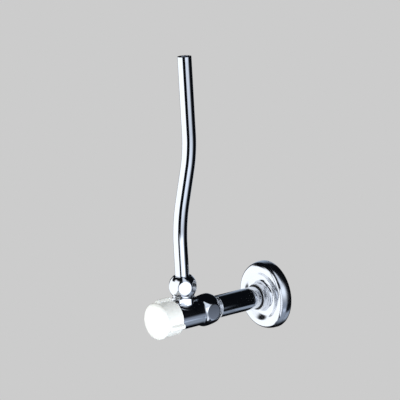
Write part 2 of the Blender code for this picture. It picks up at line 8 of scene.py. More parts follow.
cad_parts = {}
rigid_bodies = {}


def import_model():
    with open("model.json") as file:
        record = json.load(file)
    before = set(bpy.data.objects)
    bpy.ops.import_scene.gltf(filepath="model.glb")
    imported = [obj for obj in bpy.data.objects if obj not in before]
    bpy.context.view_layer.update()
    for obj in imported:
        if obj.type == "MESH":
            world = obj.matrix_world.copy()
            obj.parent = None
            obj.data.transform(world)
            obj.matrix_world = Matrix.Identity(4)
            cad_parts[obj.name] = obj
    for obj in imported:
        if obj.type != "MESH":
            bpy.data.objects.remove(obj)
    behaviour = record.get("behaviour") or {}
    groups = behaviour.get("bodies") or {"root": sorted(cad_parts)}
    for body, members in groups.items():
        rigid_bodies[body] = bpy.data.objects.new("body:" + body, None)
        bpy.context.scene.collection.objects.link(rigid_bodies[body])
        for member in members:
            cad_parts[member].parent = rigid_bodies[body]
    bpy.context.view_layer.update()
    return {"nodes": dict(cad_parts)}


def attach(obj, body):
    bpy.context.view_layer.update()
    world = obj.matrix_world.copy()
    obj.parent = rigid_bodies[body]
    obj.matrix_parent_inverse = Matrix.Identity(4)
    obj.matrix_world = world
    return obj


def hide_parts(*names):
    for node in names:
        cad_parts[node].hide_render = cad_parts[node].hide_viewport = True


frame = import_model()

scene = bpy.context.scene
mm = 0.001
outletY = -80.0  # the riser's axis, mm from the face of the wall
closeBy = 0.06  # mm from a corner to the extra point that keeps a long flat run flat
longRun = 1.0  # mm
print("angle stop valve: frame loaded with", len(frame["nodes"]), "nodes")


# Points between the corners of a profile. A long straight run also gets a close
# neighbour beside each end, so that flat parts keep their own shading.
def fillPath(points, step, margin=closeBy):
    path = [points[:1]]
    for start, end in zip(points[:-1], points[1:]):
        length = np.linalg.norm(end - start)
        if length < 1e-6:
            continue
        shares = np.linspace(0, 1, max(int(math.ceil(length / step)), 1) + 1)
        if margin and length > longRun:
            shares = np.union1d(shares, [margin / length, 1 - margin / length])
        path.append(start + (end - start) * shares[1:, None])
    return np.concatenate(path)


# Corners are (radius, place along the axis, rounding). Each rounded corner becomes
# an arc that leaves both sides at their own slope, in steps of at most bend degrees.
def softProfile(corners, step=0.5, closed=True, bend=12.0, margin=closeBy):
    corners = np.array(corners, float)
    flat = corners[:, :2]
    count = len(corners)
    points = []
    for i in range(count):
        here, rounding = flat[i], corners[i, 2]
        isEnd = not closed and i in (0, count - 1)
        if rounding <= 0 or isEnd:
            points.append(here[None])
            continue
        way = here - flat[i - 1]
        way = way / np.linalg.norm(way)
        out = flat[(i + 1) % count] - here
        out = out / np.linalg.norm(out)
        cross = way[0] * out[1] - way[1] * out[0]
        turn = math.atan2(cross, way @ out)
        reach = rounding * math.tan(abs(turn) / 2)
        side = np.array([-way[1], way[0]]) * np.sign(turn)
        centre = here - way * reach + side * rounding
        angles = np.linspace(0, turn, max(int(math.ceil(abs(math.degrees(turn)) / bend)), 2) + 1)
        cosines, sines = np.cos(angles), np.sin(angles)
        spoke = -side * rounding
        points.append(centre + np.stack([cosines * spoke[0] - sines * spoke[1],
                                         sines * spoke[0] + cosines * spoke[1]], axis=1))
    points = np.concatenate(points)
    if closed:
        return fillPath(np.concatenate([points, points[:1]]), step, margin)[:-1]
    return fillPath(points, step, margin)


# (radius, along) points of a circle's arc, without rounding of their own.
def arcPoints(centre, radius, start, end, count):
    angles = np.radians(np.linspace(start, end, count))
    return [(centre[0] + radius * math.cos(a), centre[1] + radius * math.sin(a), 0.0) for a in angles]


# The lower of two surfaces with a rounded edge of this width between them.
def softMin(a, b, width):
    near = np.clip(width - np.abs(a - b), 0, None) / width
    return np.minimum(a, b) - near * near * width / 4


def softMax(a, b, width):
    return -softMin(-a, -b, width)


# Distance from the axis to the sides of a regular prism at each angle.
def prismReach(angles, acrossFlats, firstNormal, sides=6):
    sector = 2 * math.pi / sides
    local = np.mod(angles - math.radians(firstNormal) + sector / 2, sector) - sector / 2
    return acrossFlats / 2 / np.cos(local)


def smoothStep(low, high, value):
    t = np.clip((value - low) / (high - low), 0, 1)
    return t * t * (3 - 2 * t)


# Radius, angle and place along the axis become points: around the inlet axis (Y) the
# angle runs from +X to +Z, around the outlet axis (Z) from +X to +Y.
def aroundInlet(radius, angle, along):
    return np.stack([radius * np.cos(angle), along + 0 * radius, radius * np.sin(angle)], axis=-1)


def aroundOutlet(radius, angle, along):
    return np.stack([radius * np.cos(angle), outletY + radius * np.sin(angle), along + 0 * radius], axis=-1)


# A closed mesh from a grid of points (rows, columns, 3). Columns run round and close;
# rows close on themselves for a hollow section, or else end in two poles.
def gridObject(name, grid, hollow):
    rows, columns = grid.shape[:2]
    index = np.arange(rows * columns).reshape(rows, columns)
    beside = np.roll(index, -1, axis=1)
    if hollow:
        low, high, lowBeside, highBeside = index, np.roll(index, -1, 0), beside, np.roll(beside, -1, 0)
    else:
        low, high, lowBeside, highBeside = index[:-1], index[1:], beside[:-1], beside[1:]
    quads = np.stack([low, lowBeside, highBeside, high], axis=-1).reshape(-1, 4)
    points = grid.reshape(-1, 3)
    fans = np.zeros((0, 3), int)
    if not hollow:
        poles = np.stack([grid[0].mean(0), grid[-1].mean(0)])
        first, last = len(points), len(points) + 1
        points = np.concatenate([points, poles])
        fans = np.concatenate([
            np.stack([beside[0], index[0], np.full(columns, first)], axis=-1),
            np.stack([index[-1], beside[-1], np.full(columns, last)], axis=-1),
        ])
    # a negative volume means that the faces look inwards
    triangles = np.concatenate([quads[:, [0, 1, 2]], quads[:, [0, 2, 3]], fans])
    a, b, c = points[triangles[:, 0]], points[triangles[:, 1]], points[triangles[:, 2]]
    if np.einsum("ij,ij->i", a, np.cross(b, c)).sum() < 0:
        quads, fans = quads[:, ::-1], fans[:, ::-1]
    mesh = bpy.data.meshes.new(name)
    mesh.from_pydata((points * mm).tolist(), [], quads.tolist() + fans.tolist())
    mesh.polygons.foreach_set("use_smooth", np.ones(len(mesh.polygons), bool))
    mesh.update()
    made = bpy.data.objects.new(name, mesh)
    scene.collection.objects.link(made)
    return made


def turnedObject(name, profile, columns, place=aroundInlet, hollow=True):
    angles = np.linspace(0, 2 * math.pi, columns, endpoint=False)
    radius = np.repeat(profile[:, :1], columns, axis=1)
    along = np.repeat(profile[:, 1:], columns, axis=1)
    return gridObject(name, place(radius, angles[None, :], along), hollow)


def joined(target, other, operation):
    step = target.modifiers.new(operation.lower(), "BOOLEAN")
    step.operation = operation
    step.object = other
    step.solver = "EXACT"
    other.hide_render = True
    other.hide_viewport = True


# Applies the modifiers and lets go of the shapes they used.
def settle(target, helpers):
    graph = bpy.context.evaluated_depsgraph_get()
    mesh = bpy.data.meshes.new_from_object(target.evaluated_get(graph))
    target.modifiers.clear()
    target.data = mesh
    mesh.name = target.name
    mesh.polygons.foreach_set("use_smooth", np.ones(len(mesh.polygons), bool))
    for helper in helpers:
        bpy.data.objects.remove(helper)


def toLinear(hexColour):
    parts = [int(hexColour[i:i + 2], 16) / 255 for i in (1, 3, 5)]
    return tuple(p / 12.92 if p <= 0.04045 else ((p + 0.055) / 1.055) ** 2.4 for p in parts) + (1.0,)


# Adds one node with its settings; an input is a value or the socket that feeds it.
def addNode(tree, kind, settings=None, inputs=None):
    node = tree.nodes.new(kind)
    for key, value in (settings or {}).items():
        setattr(node, key, value)
    for key, value in (inputs or {}).items():
        if isinstance(value, bpy.types.NodeSocket):
            tree.links.new(value, node.inputs[key])
        else:
            node.inputs[key].default_value = value
    return node


def newMaterial(name):
    material = bpy.data.materials.new(name)
    material.use_nodes = True
    return material, material.node_tree, material.node_tree.nodes["Principled BSDF"]


def dress(obj, material):
    obj.data.materials.clear()
    obj.data.materials.append(material)


# Object coordinates in millimetres.
def inMillimetres(tree):
    where = addNode(tree, "ShaderNodeTexCoord")
    return addNode(tree, "ShaderNodeVectorMath", {"operation": "SCALE"},
                   {0: where.outputs["Object"], "Scale": 1000.0}).outputs[0]


# Distance from a straight axis, place along it and a slowed angle, so that a pattern
# made from them runs round the piece as lathe and buffing marks do.
def marksRound(tree, point, axis, centre, lineScale, turnScale):
    parts = addNode(tree, "ShaderNodeSeparateXYZ", None, {0: point}).outputs
    names = {"Y": ("X", "Z", "Y"), "Z": ("X", "Y", "Z")}[axis]
    first = addNode(tree, "ShaderNodeMath", {"operation": "SUBTRACT"},
                    {0: parts[names[0]], 1: centre[0]}).outputs[0]
    second = addNode(tree, "ShaderNodeMath", {"operation": "SUBTRACT"},
                     {0: parts[names[1]], 1: centre[1]}).outputs[0]
    flat = addNode(tree, "ShaderNodeCombineXYZ", None, {"X": first, "Y": second}).outputs[0]
    reach = addNode(tree, "ShaderNodeVectorMath", {"operation": "LENGTH"}, {0: flat}).outputs["Value"]
    turn = addNode(tree, "ShaderNodeMath", {"operation": "ARCTAN2"}, {0: second, 1: first}).outputs[0]
    marks = addNode(tree, "ShaderNodeCombineXYZ", None,
                    {"X": reach, "Y": parts[names[2]], "Z": turn}).outputs[0]
    return addNode(tree, "ShaderNodeVectorMath", {"operation": "MULTIPLY"},
                   {0: marks, 1: (lineScale, lineScale, turnScale)}).outputs[0]


# Noise whose scale is a count of features per millimetre.
def noiseAt(tree, point, scale, detail, roughness=0.5):
    return addNode(tree, "ShaderNodeTexNoise", None, {"Vector": point, "Scale": scale, "Detail": detail,
                                                      "Roughness": roughness}).outputs["Fac"]


# Noise between low and high becomes a value between least and most.
def ranged(tree, noise, low, high, least, most):
    return addNode(tree, "ShaderNodeMapRange", None, {"Value": noise, "From Min": low, "From Max": high,
                                                      "To Min": least, "To Max": most}).outputs[0]


def mixed(tree, share, first, second):
    return addNode(tree, "ShaderNodeMix", {"data_type": "RGBA"},
                   {"Factor": share, "A": toLinear(first), "B": toLinear(second)}).outputs["Result"]


# Relief of this depth in millimetres, on top of another relief if one is given.
def relief(tree, noise, strength, depth, under=None):
    inputs = {"Height": noise, "Strength": strength, "Distance": depth * mm}
    if under is not None:
        inputs["Normal"] = under
    return addNode(tree, "ShaderNodeBump", None, inputs).outputs[0]


def finishWith(tree, shader, colour, roughness, normal):
    tree.links.new(colour, shader.inputs["Base Color"])
    tree.links.new(roughness, shader.inputs["Roughness"])
    tree.links.new(normal, shader.inputs["Normal"])


# Buffed nickel-chrome plate: almost a mirror, with buffing lines that only soften the
# edge of a highlight, a slow waviness under the plate and faint finger haze. Clean and
# haze are its least and greatest roughness.
def chromePlate(name, axis, centre, lineScale, wave, clean, haze):
    material, tree, shader = newMaterial(name)
    point = inMillimetres(tree)
    lines = noiseAt(tree, marksRound(tree, point, axis, centre, lineScale, 0.6), 1.0, 3.0, 0.6)
    smudge = noiseAt(tree, point, 0.11, 4.0, 0.55)
    ripple = noiseAt(tree, point, 0.22, 1.0, 0.4)
    rough = ranged(tree, smudge, 0.42, 0.7, clean, haze)
    fine = ranged(tree, lines, 0.3, 0.7, 0.0, 0.03)
    total = addNode(tree, "ShaderNodeMath", {"operation": "ADD"}, {0: rough, 1: fine}).outputs[0]
    scratched = relief(tree, lines, 0.5, 0.0004, relief(tree, ripple, 1.0, wave))
    finishWith(tree, shader, mixed(tree, smudge, "#CDD0D6", "#D6D8DC"), total, scratched)
    shader.inputs["Metallic"].default_value = 1.0
    return material


# Injection-moulded white ABS: a soft satin skin with a very fine grain and a slight
# translucence that lifts its shaded side.
def mouldedWhite(name):
    material, tree, shader = newMaterial(name)
    point = inMillimetres(tree)
    grain = noiseAt(tree, point, 5.0, 3.0, 0.6)
    cloud = noiseAt(tree, point, 0.16, 3.0)
    finishWith(tree, shader, mixed(tree, cloud, "#EFF0EB", "#F5F5F1"),
               ranged(tree, cloud, 0.3, 0.7, 0.26, 0.36), relief(tree, grain, 0.35, 0.012))
    shader.inputs["Subsurface Weight"].default_value = 0.12
    shader.inputs["Subsurface Radius"].default_value = (1.0, 0.9, 0.8)
    shader.inputs["Subsurface Scale"].default_value = 0.6 * mm
    shader.inputs["IOR"].default_value = 1.52
    return material


# Cut metal straight off the lathe: rings of tool marks over the whole piece and dull
# stains where it was handled.
def turnedMetal(name, bright, stain, rough, axis="Y", centre=(0.0, 0.0)):
    material, tree, shader = newMaterial(name)
    point = inMillimetres(tree)
    lines = noiseAt(tree, marksRound(tree, point, axis, centre, 7.0, 0.3), 1.0, 2.0)
    patches = noiseAt(tree, point, 0.3, 4.0)
    finishWith(tree, shader, mixed(tree, patches, bright, stain),
               ranged(tree, patches, 0.3, 0.7, rough - 0.06, rough + 0.1), relief(tree, lines, 0.6, 0.01))
    shader.inputs["Metallic"].default_value = 1.0
    return material


# Moulded or pressed soft goods: a mottled colour and a grain whose size is in mm.
def softGoods(name, dark, light, rough, grainSize, depth, ior):
    material, tree, shader = newMaterial(name)
    point = inMillimetres(tree)
    grain = noiseAt(tree, point, 1.0 / grainSize, 5.0, 0.65)
    cloud = noiseAt(tree, point, 0.4, 2.0)
    finishWith(tree, shader, mixed(tree, cloud, dark, light),
               ranged(tree, grain, 0.3, 0.7, rough - 0.08, rough + 0.08), relief(tree, grain, 0.5, depth))
    shader.inputs["IOR"].default_value = ior
    return material


bodyChrome = chromePlate("buffed_chrome_on_forged_brass_body", "Y", (0.0, 0.0), 5.0, 0.004, 0.08, 0.12)
nutChrome = chromePlate("buffed_chrome_on_turned_brass_nut", "Z", (0.0, outletY), 5.0, 0.003, 0.06, 0.10)
tubeChrome = chromePlate("chrome_on_drawn_copper_tube", "Z", (0.0, outletY), 0.9, 0.002, 0.05, 0.09)
pipeChrome = chromePlate("chrome_on_threaded_brass_pipe", "Y", (0.0, 0.0), 4.0, 0.002, 0.06, 0.10)
flangeChrome = chromePlate("chrome_on_pressed_steel_flange", "Y", (0.0, 0.0), 3.0, 0.006, 0.12, 0.17)
knobPlastic = mouldedWhite("injection_moulded_white_abs")
turnedBrass = turnedMetal("lathe_turned_brass", "#C9A55C", "#A9853F", 0.28)
screwSteel = turnedMetal("cold_headed_stainless_screw", "#BFC0BE", "#A3A4A3", 0.3)
oliveBrass = turnedMetal("soft_annealed_brass_olive", "#C79F5A", "#B48D4B", 0.34, "Z", (0.0, outletY))
sealRubber = softGoods("moulded_nitrile_rubber", "#141515", "#1F2020", 0.62, 0.35, 0.01, 1.52)
redFibre = softGoods("pressed_vulcanised_fibre", "#7A2016", "#93301F", 0.72, 0.25, 0.03, 1.5)
sealTape = softGoods("wound_ptfe_seal", "#E6E6E0", "#F2F2EE", 0.42, 0.5, 0.02, 1.38)
print("materials made:", len(bpy.data.materials))

bodyShape = {
    "columns": 336,
    "barrelR": 10.0,
    "frontY": -91.4,
    "endY": -54.0,
    "ballY": -61.0,
    "ballR": 12.0,
    "blendR": 5.0,
    "flats": 21.0,
    "edge": 0.3,
    "chamfer": 0.6,
    "inletR": 8.65,
    "inletFloorY": -64.5,
    "waterwayR": 4.6,
    "seatR": 6.8,
    "seatY": (-67.5, -70.5),
    "chamberR": 7.6,
    "chamberFrontY": -83.5,
    "headR": 8.4,
    "outsideFrom": 9.6,
}


# Radius(angle, along): the lower of the turned outline and the six sides of the hexagon.
def makeBody(p):
    barrelR, frontY, endY = p["barrelR"], p["frontY"], p["endY"]
    blendR, ballY = p["blendR"], p["ballY"]
    blendY = ballY - math.sqrt((p["ballR"] + blendR) ** 2 - (barrelR + blendR) ** 2)
    meet = math.degrees(math.atan2(ballY - blendY, -(barrelR + blendR)))
    ballTo = math.degrees(math.asin((endY - ballY) / p["ballR"]))
    chamfer, lead = p["chamfer"], 0.7
    outline = [(p["headR"], frontY, 0.2), (barrelR - chamfer, frontY, 0.25)]
    outline += [(barrelR, frontY + chamfer, 0.25)]
    outline += arcPoints((barrelR + blendR, blendY), blendR, 180, meet, 14)
    outline += arcPoints((0, ballY), p["ballR"], meet - 180, ballTo, 44)[1:]
    outline[-1] = outline[-1][:2] + (p["edge"],)
    outline += [(p["inletR"] + lead, endY, 0.15), (p["inletR"], endY - lead, 0.1)]
    outline += [(p["inletR"], p["inletFloorY"], 0.0), (p["waterwayR"], p["inletFloorY"], 0.15)]
    outline += [(p["waterwayR"], p["seatY"][0], 0.15), (p["seatR"], p["seatY"][0], 0.0)]
    outline += [(p["seatR"], p["seatY"][1], 0.1), (p["chamberR"], p["seatY"][1], 0.0)]
    outline += [(p["chamberR"], p["chamberFrontY"], 0.1), (p["headR"], p["chamberFrontY"], 0.0)]
    profile = softProfile(outline, 2.0)
    angles = np.linspace(0, 2 * math.pi, p["columns"], endpoint=False)
    radius = np.repeat(profile[:, :1], p["columns"], axis=1)
    along = np.repeat(profile[:, 1:], p["columns"], axis=1)
    cut = softMin(radius, prismReach(angles[None, :], p["flats"], 0), p["edge"])
    onBall = (along > blendY) & (radius > p["outsideFrom"])
    radius = np.where(onBall, cut, radius)
    return gridObject("valve_body_casting", aroundInlet(radius, angles[None, :], along), True)


bossShape = {
    "columns": 192,
    "stemR": 7.1,
    "filletFront": 2.6,
    "filletSide": 12.0,
    "filletRows": 14,
    "neckR": 7.0,
    "chamfer": 0.5,
    "top": 18.5,
    "tuck": ((0.97, 0.6), (0.9, 1.0), (0.7, 1.1), (0.4, 1.1), (0.05, 1.1)),
    "collarColumns": 240,
    "collarRows": 40,
    "collarTop": 13.4,
    "collarLow": 7.8,
    "collarFlats": 15.0,
    "collarEdge": 0.25,
    "coneInset": 0.05,
    "coneSlope": 1.4,
}


# The stem and its fillet. A ball rolls in the corner between the stem and the barrel,
# small along the barrel and larger at its sides: its centre stays one radius off both,
# and the surface is the arc between its two contact points. Below that the surface
# tucks into the barrel and stays inside its wall: each row of the tuck is a share of
# the fillet's reach and a depth under the barrel's skin.
def makeBoss(p, barrelR):
    angles = np.linspace(0, 2 * math.pi, p["columns"], endpoint=False)
    ball = p["filletFront"] + (p["filletSide"] - p["filletFront"]) * np.abs(np.cos(angles)) ** 3
    reach = p["stemR"] + ball
    centre = np.stack([reach * np.cos(angles), reach * np.sin(angles) + outletY, 0 * angles], axis=-1)
    centre[:, 2] = np.sqrt((barrelR + ball) ** 2 - centre[:, 0] ** 2)
    ball = ball[:, None]
    toStem = np.stack([-np.cos(angles), -np.sin(angles), 0 * angles], axis=-1)
    toBarrel = -centre * [1, 0, 1] / (barrelR + ball)
    between = np.arccos(np.clip((toStem * toBarrel).sum(-1), -1, 1))[:, None]
    fillet = []
    for share in np.linspace(0, 1, p["filletRows"]):
        way = np.sin((1 - share) * between) * toStem + np.sin(share * between) * toBarrel
        fillet.append(centre + ball * way / np.sin(between))
    ring = np.stack([np.cos(angles), np.sin(angles), 0 * angles], axis=-1)
    foot = [0, outletY, 0]
    neckR, top, chamfer = p["neckR"], p["top"], p["chamfer"]
    rises = ((chamfer, top), (neckR - chamfer, top), (neckR, top - chamfer), (neckR, p["collarTop"]),
             (p["stemR"], p["collarTop"] - 0.2))
    stem = [foot + ring * [r, r, 0] + [0, 0, z] for r, z in rises]
    inside = []
    for share, depth in p["tuck"]:
        row = foot + (fillet[-1] - foot) * [share, share, 0]
        row[:, 2] = np.sqrt((barrelR - depth) ** 2 - row[:, 0] ** 2)
        inside.append(row)
    return gridObject("boss_shape", np.stack(stem + fillet + inside), False)


# The spanner collar: the lower of its six sides and of a cone that takes off the corners.
def makeCollar(p):
    angles = np.linspace(0, 2 * math.pi, p["collarColumns"], endpoint=False)
    low, high, rows = p["collarLow"], p["collarTop"], p["collarRows"]
    endShares = [0.1, 0.9, 0.97]
    heights = np.concatenate([[low] * 3, np.linspace(low, high, rows), [high] * 3])
    shares = np.concatenate([endShares, np.ones(rows), endShares[::-1]])
    sides = prismReach(angles[None, :], p["collarFlats"], 30)
    fromEnd = np.minimum(heights - low, high - heights)[:, None]
    cone = p["collarFlats"] / 2 - p["coneInset"] + fromEnd * p["coneSlope"]
    radius = softMin(sides + 0 * cone, cone + 0 * sides, p["collarEdge"]) * shares[:, None]
    return gridObject("collar_shape", aroundOutlet(radius, angles[None, :], heights[:, None]), False)


outletShape = {"columns": 96, "low": 1.0, "waterR": 4.1, "waterTop": 11.5, "tubeR": 5.3, "tubeTop": 15.3,
               "coneR": 6.5, "coneTop": 18.5, "clear": 20.0}


# The outlet's bore: water way, tube socket and the cone that the olive sits in.
def makeOutletCutter(p):
    corners = [(0.05, p["low"], 0), (p["waterR"], p["low"], 0), (p["waterR"], p["waterTop"], 0),
               (p["tubeR"], p["waterTop"], 0), (p["tubeR"], p["tubeTop"], 0), (p["coneR"], p["coneTop"], 0),
               (p["coneR"], p["clear"], 0), (0.05, p["clear"], 0)]
    return turnedObject("outlet_cutter", softProfile(corners, 5.0, False), p["columns"], aroundOutlet, False)


valveBody = makeBody(bodyShape)
boss = makeBoss(bossShape, bodyShape["barrelR"])
collar = makeCollar(bossShape)
outletCutter = makeOutletCutter(outletShape)
joined(valveBody, boss, "UNION")
joined(valveBody, collar, "UNION")
joined(valveBody, outletCutter, "DIFFERENCE")
settle(valveBody, [boss, collar, outletCutter])
dress(valveBody, bodyChrome)
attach(valveBody, "valve")
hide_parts("valve_body")
print("valve body:", len(valveBody.data.polygons), "faces")

nutShape = {"columns": 300, "low": 13.7, "top": 28.6, "ballZ": 21.0, "ballR": 10.0, "ballFrom": 14.8,
            "skirtR": 7.8, "skirtTop": 14.6, "flats": 17.7, "edge": 0.28, "threadR": 7.3, "threadTop": 20.0,
            "tubeR": 5.3, "coneTop": 23.6, "outsideFrom": 7.5}


# Radius(angle, along): a ball and its skirt, cut back to six flats.
def makeNut(p):
    start = math.degrees(math.asin((p["ballFrom"] - p["ballZ"]) / p["ballR"]))
    end = math.degrees(math.asin((p["top"] - p["ballZ"]) / p["ballR"]))
    outline = [(p["threadR"], p["low"], 0.15), (p["skirtR"], p["low"], 0.2)]
    outline += [(p["skirtR"], p["skirtTop"], 0.1)]
    outline += arcPoints((0, p["ballZ"]), p["ballR"], start, end, 56)
    outline[-1] = outline[-1][:2] + (0.3,)
    outline += [(p["tubeR"], p["top"], 0.2), (p["tubeR"], p["coneTop"], 0.1)]
    outline += [(p["threadR"], p["threadTop"], 0.1)]
    profile = softProfile(outline, 2.0)
    angles = np.linspace(0, 2 * math.pi, p["columns"], endpoint=False)
    radius = np.repeat(profile[:, :1], p["columns"], axis=1)
    along = np.repeat(profile[:, 1:], p["columns"], axis=1)
    cut = softMin(radius, prismReach(angles[None, :], p["flats"], 30), p["edge"])
    radius = np.where(radius > p["outsideFrom"], cut, radius)
    return gridObject("compression_nut_forged", aroundOutlet(radius, angles[None, :], along), True)


nut = makeNut(nutShape)
dress(nut, nutChrome)
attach(nut, "riser")
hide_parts("compression_nut")
print("compression nut:", len(nut.data.polygons), "faces")

riserShape = {"outerR": 5.0, "innerR": 4.0, "lip": 0.15, "low": 12.0, "top": 184.6, "offset": 13.5,
              "corners": (66.0, 116.0), "bends": (120.0, 100.0), "columns": 96}


# The route in the YZ plane: straight runs joined by arcs that touch them.
def riserRoute(p):
    y0, y1 = outletY, outletY + p["offset"]
    corners = [(y0, p["low"], 0), (y0, p["corners"][0], p["bends"][0]),
               (y1, p["corners"][1], p["bends"][1]), (y1, p["top"], 0)]
    return softProfile(corners, 4.0, False, bend=0.4, margin=0)


# A tube section swept along the route: outer skin up, a square cut end with its edges
# just rounded, inner skin down, and the same at the lower end.
def makeRiser(p):
    route = riserRoute(p)
    slope = np.gradient(route, axis=0)
    slope /= np.linalg.norm(slope, axis=1)[:, None]
    lip, lipRows = p["lip"], 4
    turn = np.radians(np.linspace(10, 90, lipRows))
    rounded, drop = lip * (1 - np.cos(turn)), lip * (1 - np.sin(turn))
    count, last = len(route), len(route) - 1
    radii = [np.full(count, p["outerR"]), p["outerR"] - rounded, p["innerR"] + rounded[::-1],
             np.full(count, p["innerR"]), p["innerR"] + rounded, p["outerR"] - rounded[::-1]]
    ends = [np.zeros(count), -drop, -drop[::-1], np.zeros(count), drop, drop[::-1]]
    atTop, atLow = np.full(lipRows, last), np.zeros(lipRows, int)
    backs = [np.arange(count), atTop, atTop, np.arange(count)[::-1], atLow, atLow]
    radius, shift, at = np.concatenate(radii), np.concatenate(ends), np.concatenate(backs)
    skin = np.concatenate([np.full(len(part), i in (0, 3)) for i, part in enumerate(radii)])
    centre = route[at] + slope[at] * shift[:, None]
    # the skins stop short of the lip, so that the rounding has room
    trim = np.where(skin & (at == last), -lip, 0) + np.where(skin & (at == 0), lip, 0)
    centre = centre + slope[at] * trim[:, None]
    angles = np.linspace(0, 2 * math.pi, p["columns"], endpoint=False)[None, :]
    across = np.stack([slope[at][:, 1], -slope[at][:, 0]], axis=-1)
    x = radius[:, None] * np.cos(angles)
    side = radius[:, None] * np.sin(angles)
    y = centre[:, :1] + across[:, :1] * side
    z = centre[:, 1:] + across[:, 1:] * side
    return gridObject("riser_tube_drawn", np.stack([x, y, z], axis=-1), True)


riser = makeRiser(riserShape)
dress(riser, tubeChrome)
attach(riser, "riser")
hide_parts("riser_tube")
print("riser tube:", len(riser.data.polygons), "faces")

pipeShape = {"columns": 120, "boreR": 6.2, "barrelR": 8.1, "threadR": 8.33, "rootR": 7.55, "pitch": 1.337,
             "front": -63.0, "frontThreadEnd": -50.6, "rearThread": -2.6, "stubEnd": 12.0,
             "flankSlope": 2.6, "crestShare": 0.3, "leadIn": 0.9, "leadDepth": 0.4, "bevel": 0.1}


# Radius(angle, along): a V thread whose phase moves one pitch along for each turn,
# fading out at the ends of each threaded length.
def makePipe(p):
    front, stubEnd, boreR, bevel = p["front"], p["stubEnd"], p["boreR"], p["bevel"]
    threadEnd, rearThread = p["frontThreadEnd"], p["rearThread"]

    def skin(y, angle):
        phase = np.mod(y / p["pitch"] - angle / (2 * math.pi), 1.0)
        tooth = np.clip(np.abs(phase - 0.5) * p["flankSlope"] - p["crestShare"], 0, 1)
        threaded = p["threadR"] - (p["threadR"] - p["rootR"]) * tooth
        endCone = p["threadR"] - p["leadIn"] + np.minimum(y - front, stubEnd - y)
        threaded = np.minimum(threaded, np.maximum(endCone, p["rootR"] - p["leadDepth"]))
        onBarrel = smoothStep(threadEnd - 0.2, threadEnd + 0.5, y)
        onBarrel = onBarrel * (1 - smoothStep(rearThread - 0.6, rearThread, y))
        return threaded * (1 - onBarrel) + p["barrelR"] * onBarrel

    outer = np.concatenate([np.arange(front, threadEnd + 0.8, 0.1),
                            np.linspace(threadEnd + 1, rearThread - 0.9, 24),
                            np.arange(rearThread - 0.7, stubEnd, 0.11), [stubEnd]])
    bore = np.linspace(stubEnd, front, 20)
    angles = np.linspace(0, 2 * math.pi, p["columns"], endpoint=False)[None, :]
    outerR = skin(outer[:, None], angles)
    boreEdge = np.full(p["columns"], boreR + bevel)
    faceEnd = np.stack([outerR[-1] * 0.35 + boreR * 0.65, boreEdge])
    faceStart = np.stack([boreEdge, outerR[0] * 0.35 + boreR * 0.65])
    innerR = np.full((len(bore), p["columns"]), boreR)
    radius = np.concatenate([outerR, faceEnd, innerR, faceStart])
    along = np.concatenate([outer, [stubEnd] * 2, np.clip(bore, front + bevel, stubEnd - bevel), [front] * 2])
    return gridObject("wall_pipe_threaded", aroundInlet(radius, angles, along[:, None] + 0 * radius), True)


pipe = makePipe(pipeShape)
dress(pipe, pipeChrome)
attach(pipe, "valve")
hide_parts("wall_pipe")
print("wall pipe:", len(pipe.data.polygons), "faces")

flangeShape = {
    "columns": 256,
    "rimR": 24.7,
    "rimEdge": 1.0,
    "rimPower": 2.4,
    "crestR": 19.6,
    "depth": 8.8,
    "dishEnd": (13.0, -5.6),
    "collarR": 9.8,
    "mouthY": -13.0,
    "mouthEdge": 0.35,
    "wall": 0.9,
    "gripR": 9.25,
    "gripY": -10.4,
    "boreR": 8.63,
    "boreEndY": -4.6,
    "hollowR": 12.4,
    "insideFrom": 12.8,
}


# A pressed shell of one thickness: the outside line goes from the wall edge over a
# rounded rim, down a half cosine wave into the dish and up the collar, and the inside
# line follows it.
def makeFlange(p):
    angles = np.radians(np.linspace(0, 90, 34))
    power = 2 / p["rimPower"]
    rim = np.stack([p["crestR"] + (p["rimR"] - p["crestR"]) * np.cos(angles) ** power,
                    -p["rimEdge"] - (p["depth"] - p["rimEdge"]) * np.sin(angles) ** power], axis=1)
    shares = np.linspace(0, 1, 32)[1:]
    crest, dishEnd = np.array([p["crestR"], -p["depth"]]), np.array(p["dishEnd"])
    dish = crest + (dishEnd - crest) * np.stack([shares, 0.5 - 0.5 * np.cos(shares * math.pi)], axis=1)
    fillet = dishEnd[0] - p["collarR"]
    rise = np.radians(np.linspace(90, 180, 14))[1:]
    corner = np.stack([dishEnd[0] + fillet * np.cos(rise),
                       dishEnd[1] - fillet + fillet * np.sin(rise)], axis=1)
    mouth = np.radians(np.linspace(180, 270, 6))
    edge = p["mouthEdge"]
    collarEnd = np.stack([p["collarR"] - edge - edge * np.cos(mouth),
                          p["mouthY"] + edge + edge * np.sin(mouth)], axis=1)
    outside = np.concatenate([[[p["rimR"], 0.0]], rim, dish, corner, collarEnd])
    shell = np.concatenate([rim, dish])
    slope = np.gradient(shell, axis=0)
    slope /= np.linalg.norm(slope, axis=1)[:, None]
    inside = (shell + p["wall"] * np.stack([slope[:, 1], -slope[:, 0]], axis=1))[::-1]
    inside = inside[inside[:, 0] > p["insideFrom"]]
    collarIn = np.array([[p["gripR"], p["mouthY"] + 0.1], [p["gripR"], p["gripY"]], [p["boreR"], p["gripY"]],
                         [p["boreR"], p["boreEndY"]], [p["hollowR"], p["boreEndY"] - 0.05]])
    back = np.array([[p["rimR"] - p["wall"], 0.0]])
    section = np.concatenate([outside, collarIn, inside, back])
    section = fillPath(np.concatenate([section, section[:1]]), 2.0)[:-1]
    return turnedObject("wall_flange_pressed", section, p["columns"])


flange = makeFlange(flangeShape)
dress(flange, flangeChrome)
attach(flange, "flange")
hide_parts("wall_flange")
print("wall flange:", len(flange.data.polygons), "faces")

